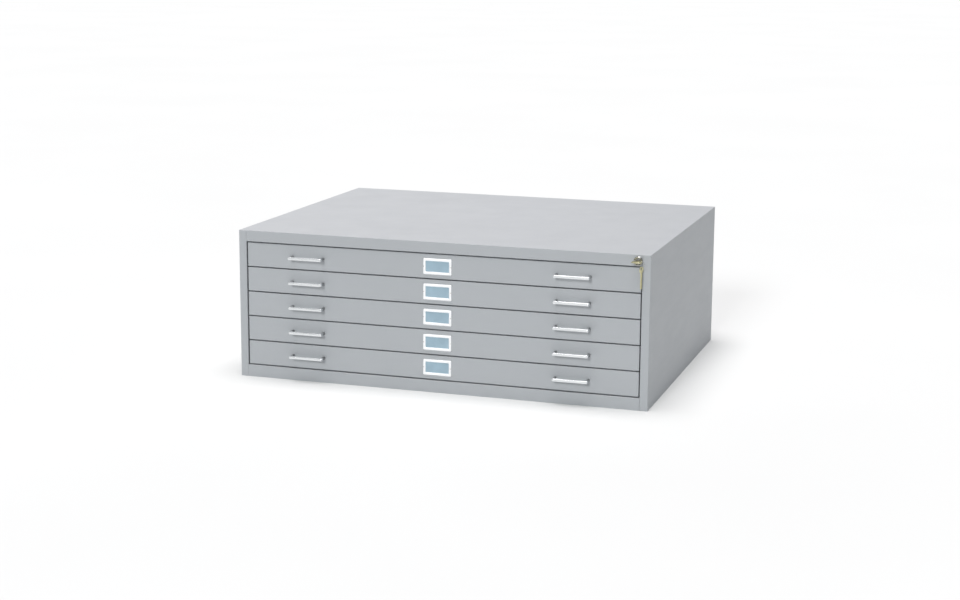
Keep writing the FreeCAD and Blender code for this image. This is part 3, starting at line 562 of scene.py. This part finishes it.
# sizes of this section are in millimetres
# (distance out from the top rail's face, radius) round the barrel: its dished bezel and bore, then its rear
BEZEL = [(0.0, 9.5), (0.0, 12.5), (1.2, 12.5), (2.1, 12.25), (2.7, 11.7), (3.0, 10.9), (2.85, 10.1),
         (2.2, 9.3), (1.5, 8.9), (1.1, 8.2), (1.0, 7.2), (1.2, 6.6), (1.2, 6.1)]
BARREL_REAR = [(-18.2, 6.1), (-18.2, 9.0), (-17.8, 9.4)]
THREAD_START = -17.0
THREAD_TURNS = 13
THREAD_PITCH = 1.2
THREAD_ROOT_RADIUS = 9.05
THREAD_CREST_RADIUS = 9.5
PLUG_RADIUS = 5.9
PLUG_CORE = [(-20.3, 0.0), (-20.3, 5.4), (-19.8, PLUG_RADIUS), (1.7, PLUG_RADIUS), (1.7, 0.0)]
PLUG_FACE_MIDDLE = 2.7
PLUG_FACE_THICKNESS = 2.0
PLUG_FACE_BEVEL = 0.35
KEYWAY_LENGTH = 8.5
KEYWAY_WIDTH = 2.3
KEYWAY_CORNER = 0.4

KEY_SHEET = 2.0
KEY_BEVEL = 0.35
# right half of the blade and shoulder, from the tip inside the plug out to the bow: (across, out)
KEY_BLADE = [(2.4, -14.0), (4.0, -12.2), (4.0, 5.0), (5.0, 5.0), (5.0, 8.0)]
KEY_BOW_START = 8.0
KEY_BOW_END = 28.0
KEY_BOW_WIDTH = 28.0
KEY_BOW_CORNER = 7.5
KEY_BOW_STEPS = 8
# (across, out, radius)
KEY_HOLE = (7.6, 18.0, 4.0)

# depths on the spare key are measured down from its pivot on the ring
SPARE_BOW_DEPTH = 5.55
SPARE_BOW_RADIUS = 9.0
SPARE_BOW_BEVEL = 0.4
SPARE_HOLE_DEPTH = 2.45
SPARE_HOLE_RADIUS = 3.5
SPARE_LENGTH = 56.0
SPARE_TURN = 72.0
BLADE_TOP = 12.0
BLADE_HALF = 3.6
BLADE_CHAMFER = 0.3
GROOVE_DEPTH = 0.6
GROOVE_EDGES = (-1.1, -0.8, 0.4, 0.7)
TOOTH_PITCH = 7.0
TOOTH_DEPTHS = (0.0, 1.0, 1.7, 0.7, 1.3)
# a tooth's cut within its pitch: where its floor starts and ends, and the crest after it
CUT_START = 1.8
CUT_END = 3.6
CREST = 6.2
CREST_HALF = 3.1
# (toothed edge's distance from the blade's middle, distance from the end) at the tip
TIP = ((2.0, 0.2), (1.1, 0.0))

RING_RADIUS = 8.3
RING_WIRE = 0.4
RING_TURNS = 2
RING_STATIONS = 120
RING_SIDES = 10
# distance along Y between the ring's two ends, as a share of the wire's thickness
RING_SPACING = 0.95


def build_lock():
    """Threaded barrel with a dished bezel, and the plug with its keyway."""
    front = facing_front(*JOINTS["key_turn"]["pos_m"])
    thread = []
    for turn in range(THREAD_TURNS):
        root = THREAD_START + turn * THREAD_PITCH
        thread += [(root, THREAD_ROOT_RADIUS), (root + THREAD_PITCH / 2, THREAD_CREST_RADIUS)]
    bm = bmesh.new()
    add_lathe(bm, in_mm(BEZEL + BARREL_REAR + thread + BEZEL[:1]), front, segments=56)
    add_piece("lock_barrel", bm, NICKEL, "case", ["lock_housing"])

    bm = bmesh.new()
    add_lathe(bm, in_mm(PLUG_CORE), front, segments=40)
    face = circle_points(0, 0, PLUG_RADIUS, count=40)
    slot = rounded_rectangle(KEYWAY_LENGTH, KEYWAY_WIDTH, KEYWAY_CORNER, steps=3)
    add_plate(bm, [face, slot], PLUG_FACE_THICKNESS, PLUG_FACE_BEVEL, raised(front, PLUG_FACE_MIDDLE))
    add_piece("lock_cylinder", bm, DARK_NICKEL, "key_and_plug", ["lock_plug"])


def key_outline():
    """The key in the lock, anticlockwise from the left corner of its tip."""
    bow_middle = (KEY_BOW_END + KEY_BOW_START) / 2
    bow = [(u, v + bow_middle) for u, v in
           rounded_rectangle(KEY_BOW_WIDTH, KEY_BOW_END - KEY_BOW_START, KEY_BOW_CORNER, KEY_BOW_STEPS)]
    lower_right = -(KEY_BOW_STEPS + 1)
    left = [(-u, v) for u, v in KEY_BLADE]
    return left[:1] + KEY_BLADE + bow[lower_right:] + bow[:lower_right] + left[:0:-1]


def build_key():
    """The key in the lock lies flat: its length runs to the front."""
    x, y, z = JOINTS["key_turn"]["pos_m"]
    lying = Matrix.Translation((x, y, z)) @ Matrix.Diagonal((1, -1, -1, 1))
    bm = bmesh.new()
    add_plate(bm, [key_outline(), circle_points(*KEY_HOLE, count=32)], KEY_SHEET, KEY_BEVEL, lying)
    add_piece("lock_key", bm, BRASS, "key_and_plug", ["key"])


def blade_loop(right, below):
    """Section of the spare key's blade, with a milled groove along each face."""
    half = KEY_SHEET / 2
    floor = half - GROOVE_DEPTH
    start, floor_start, floor_end, end = GROOVE_EDGES
    section = [(-BLADE_HALF, -half + BLADE_CHAMFER), (-BLADE_HALF + BLADE_CHAMFER, -half), (start, -half),
               (floor_start, -floor), (floor_end, -floor), (end, -half), (right - BLADE_CHAMFER, -half),
               (right, -half + BLADE_CHAMFER)]
    section += [(u, -w) for u, w in reversed(section)]
    return [(u, w, -below) for u, w in section]


def blade_stations():
    """(toothed edge's distance from the blade's middle, depth below the ring) down the spare key."""
    teeth_top = SPARE_LENGTH - len(TOOTH_DEPTHS) * TOOTH_PITCH
    stations = [(BLADE_HALF, BLADE_TOP), (BLADE_HALF, teeth_top)]
    for tooth, depth in enumerate(TOOTH_DEPTHS):
        start = teeth_top + tooth * TOOTH_PITCH
        stations += [(BLADE_HALF - depth, start + CUT_START), (BLADE_HALF - depth, start + CUT_END),
                     (CREST_HALF, start + CREST)]
    return stations + [(right, SPARE_LENGTH - short) for right, short in TIP]


def build_spare_key():
    """Second key: round bow, grooved blade and teeth along one edge."""
    pivot = Vector(JOINTS["spare_key_swing"]["pos_m"])
    turned = Matrix.Translation(pivot) @ Matrix.Rotation(math.radians(SPARE_TURN), 4, "Z")
    bow = circle_points(0, -SPARE_BOW_DEPTH, SPARE_BOW_RADIUS, count=48)
    hole = circle_points(0, -SPARE_HOLE_DEPTH, SPARE_HOLE_RADIUS, count=28)
    bm = bmesh.new()
    add_plate(bm, [bow, hole], KEY_SHEET, SPARE_BOW_BEVEL, turned @ Matrix.Rotation(math.pi / 2, 4, "X"))
    add_loops(bm, [[turned @ Vector(point) for point in in_mm(blade_loop(right, below))]
                   for right, below in blade_stations()])
    add_piece("spare_lock_key", bm, BRASS, "spare_key", ["spare_key"])


def build_key_ring():
    """Split ring: two turns of wire, which run into each other by about half their thickness."""
    centre = middle("key_ring")
    radius, wire = RING_RADIUS * MM, RING_WIRE * MM
    loops = []
    for k in range(RING_STATIONS + 1):
        angle = 2 * math.pi * RING_TURNS * k / RING_STATIONS
        outward = Vector((math.cos(angle), 0, math.sin(angle)))
        along = (k / RING_STATIONS - 0.5) * 2 * wire * RING_SPACING
        core = centre + outward * radius + Vector((0, along, 0))
        loop = []
        for n in range(RING_SIDES):
            turn = 2 * math.pi * n / RING_SIDES
            loop.append(core + outward * wire * math.cos(turn) + Vector((0, wire * math.sin(turn), 0)))
        loops.append(loop)
    bm = bmesh.new()
    add_loops(bm, loops)
    add_piece("split_ring", bm, NICKEL, "key_ring", ["key_ring"])


# ---------------------------------------------------------------- spot welds on the back

# (height above the flange, radius) in millimetres
WELD = [(0.0, 3.4), (0.1, 3.1), (0.14, 2.6), (0.08, 2.1), (0.04, 1.2), (0.04, 0.0)]
WELD_ROWS = 7
WELD_INSET = 10 * MM


def build_welds():
    """Shallow weld marks down the rear flanges of both side walls."""
    low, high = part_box("right_side_panel")
    bm = bmesh.new()
    for side in SIDES:
        for row in range(WELD_ROWS):
            z = low.z + (high.z - low.z) * (row + 0.5) / WELD_ROWS
            spot = facing_back(side * (high.x - WELD_INSET), high.y, z)
            add_lathe(bm, in_mm(WELD), spot, segments=20)
    add_piece("weld_marks", bm, CASE, "case")


# ---------------------------------------------------------------- stage, light and camera

FLOOR_HALF = 150.0
FLOOR_TONES = ((0.715, 0.733, 0.728), (0.725, 0.743, 0.738))
# the sky's (sine of the height, brightness): the backdrop behind the cabinet, turned to the left, and the
# room around it
BACKDROP = ((0.0, 1.15), (0.05, 1.38), (0.3, 1.38), (0.5, 0.12))
BACKDROP_TINT = (1.0, 1.0, 1.0)
BACKDROP_TURN = math.radians(40.0)
BACKDROP_SPREAD = (0.7, 0.95)
ROOM = ((0.0, 0.80), (0.03, 0.15), (0.5, 0.15), (1.0, 0.12))
ROOM_TINT = (0.88, 1.0, 1.10)
SEEN_BACKDROP = (0.98, 0.98, 0.98, 1.0)
FRONT_LIGHT = {"name": "front_light", "energy": 1.28, "tint": (1.0, 1.0, 0.99), "azimuth": -2.0,
               "elevation": 24.0, "soft": 12.0}
TOP_LIGHT = {"name": "top_light", "energy": 3.35, "tint": (1.0, 0.955, 0.955), "azimuth": -20.0,
             "elevation": 88.0, "soft": 40.0}


def build_floor():
    """Plain pale floor."""
    bm = bmesh.new()
    bmesh.ops.create_grid(bm, x_segments=2, y_segments=2, size=FLOOR_HALF)
    paint = Paint("floor_white", Roughness=1.0, Specular_IOR_Level=0.0)
    tone = paint.spread(paint.noise(scale=0.8, detail=2.0), 0.0, 1.0)
    paint.use("Base Color", paint.mixed(tone, *FLOOR_TONES))
    finish_mesh("floor", bm, paint.material)


def sky_ramp(nodes, links, height, levels, tint):
    """Colour of the sky by the sine of its height."""
    ramp = nodes.new("ShaderNodeValToRGB")
    links.new(height, ramp.inputs["Fac"])
    stops = ramp.color_ramp.elements
    while len(stops) < len(levels):
        stops.new(position=0.5)
    for stop, (place, level) in zip(stops, levels):
        stop.position = place
        stop.color = (*shade(tint, level), 1.0)
    return ramp.outputs["Color"]


def build_world():
    """Studio sky: a bright backdrop behind the cabinet and a dim room around it light the scene, and the
    camera itself sees one plain pale tone."""
    world = bpy.data.worlds.new("studio")
    SCENE.world = world
    world.use_nodes = True
    nodes, links = world.node_tree.nodes, world.node_tree.links
    direction = nodes.new("ShaderNodeTexCoord").outputs["Generated"]
    split = nodes.new("ShaderNodeSeparateXYZ")
    links.new(direction, split.inputs["Vector"])
    facing = nodes.new("ShaderNodeVectorMath")
    facing.operation = "DOT_PRODUCT"
    links.new(direction, facing.inputs[0])
    facing.inputs[1].default_value = (-math.sin(BACKDROP_TURN), math.cos(BACKDROP_TURN), 0.0)
    behind = nodes.new("ShaderNodeMapRange")
    links.new(facing.outputs["Value"], behind.inputs["Value"])
    behind.inputs["From Min"].default_value, behind.inputs["From Max"].default_value = BACKDROP_SPREAD
    mix = nodes.new("ShaderNodeMix")
    mix.data_type = "RGBA"
    links.new(behind.outputs["Result"], mix.inputs["Factor"])
    links.new(sky_ramp(nodes, links, split.outputs["Z"], ROOM, ROOM_TINT), mix.inputs["A"])
    links.new(sky_ramp(nodes, links, split.outputs["Z"], BACKDROP, BACKDROP_TINT), mix.inputs["B"])
    seen = nodes.new("ShaderNodeMix")
    seen.data_type = "RGBA"
    links.new(nodes.new("ShaderNodeLightPath").outputs["Is Camera Ray"], seen.inputs["Factor"])
    links.new(mix.outputs["Result"], seen.inputs["A"])
    seen.inputs["B"].default_value = SEEN_BACKDROP
    links.new(seen.outputs["Result"], nodes["Background"].inputs["Color"])


def build_sun(name, energy, tint, azimuth, elevation, soft):
    """A soft distant light. Azimuth 0 shines from the drawers' side, 90 from the right."""
    lamp = bpy.data.lights.new(name, "SUN")
    lamp.energy = energy
    lamp.color = tint
    lamp.angle = math.radians(soft)
    holder = bpy.data.objects.new(name, lamp)
    SCENE.collection.objects.link(holder)
    turn, rise = math.radians(azimuth), math.radians(elevation)
    source = Vector((math.sin(turn) * math.cos(rise), -math.cos(turn) * math.cos(rise), math.sin(rise)))
    holder.rotation_euler = source.to_track_quat("Z", "Y").to_euler()


CAMERA_PLACE = (1.5579, -4.8885, 1.2339)
CAMERA_TURN = math.radians(17.929)
CAMERA_DIP = math.radians(10.759)
CAMERA_ROLL = math.radians(0.381)
CAMERA_LENS = 66.304
CAMERA_SENSOR = 36.0
CAMERA_SHIFT = (0.0, -0.03)
CAMERA_REACH = 500.0


def build_camera():
    """The camera looks to the back, turned to the left and dipped."""
    data = bpy.data.cameras.new("camera")
    data.lens = CAMERA_LENS
    data.sensor_width = CAMERA_SENSOR
    data.shift_x, data.shift_y = CAMERA_SHIFT
    data.clip_end = CAMERA_REACH
    camera = bpy.data.objects.new("camera", data)
    SCENE.collection.objects.link(camera)
    ahead = Vector((-math.sin(CAMERA_TURN) * math.cos(CAMERA_DIP),
                    math.cos(CAMERA_TURN) * math.cos(CAMERA_DIP), -math.sin(CAMERA_DIP)))
    level = Vector((math.cos(CAMERA_TURN), math.sin(CAMERA_TURN), 0))
    above = level.cross(ahead)
    right = level * math.cos(CAMERA_ROLL) + above * math.sin(CAMERA_ROLL)
    up = above * math.cos(CAMERA_ROLL) - level * math.sin(CAMERA_ROLL)
    axes = Matrix((right, up, -ahead)).transposed()
    camera.matrix_world = Matrix.Translation(CAMERA_PLACE) @ axes.to_4x4()
    SCENE.camera = camera


paint_cad_parts()
for number in DRAWERS:
    build_handles(number)
    build_label_holder(number)
    build_fixings(number)
build_lock()
build_key()
build_spare_key()
build_key_ring()
build_welds()
build_floor()
build_world()
build_sun(**FRONT_LIGHT)
build_sun(**TOP_LIGHT)
build_camera()
SCENE.view_settings.view_transform = "Standard"
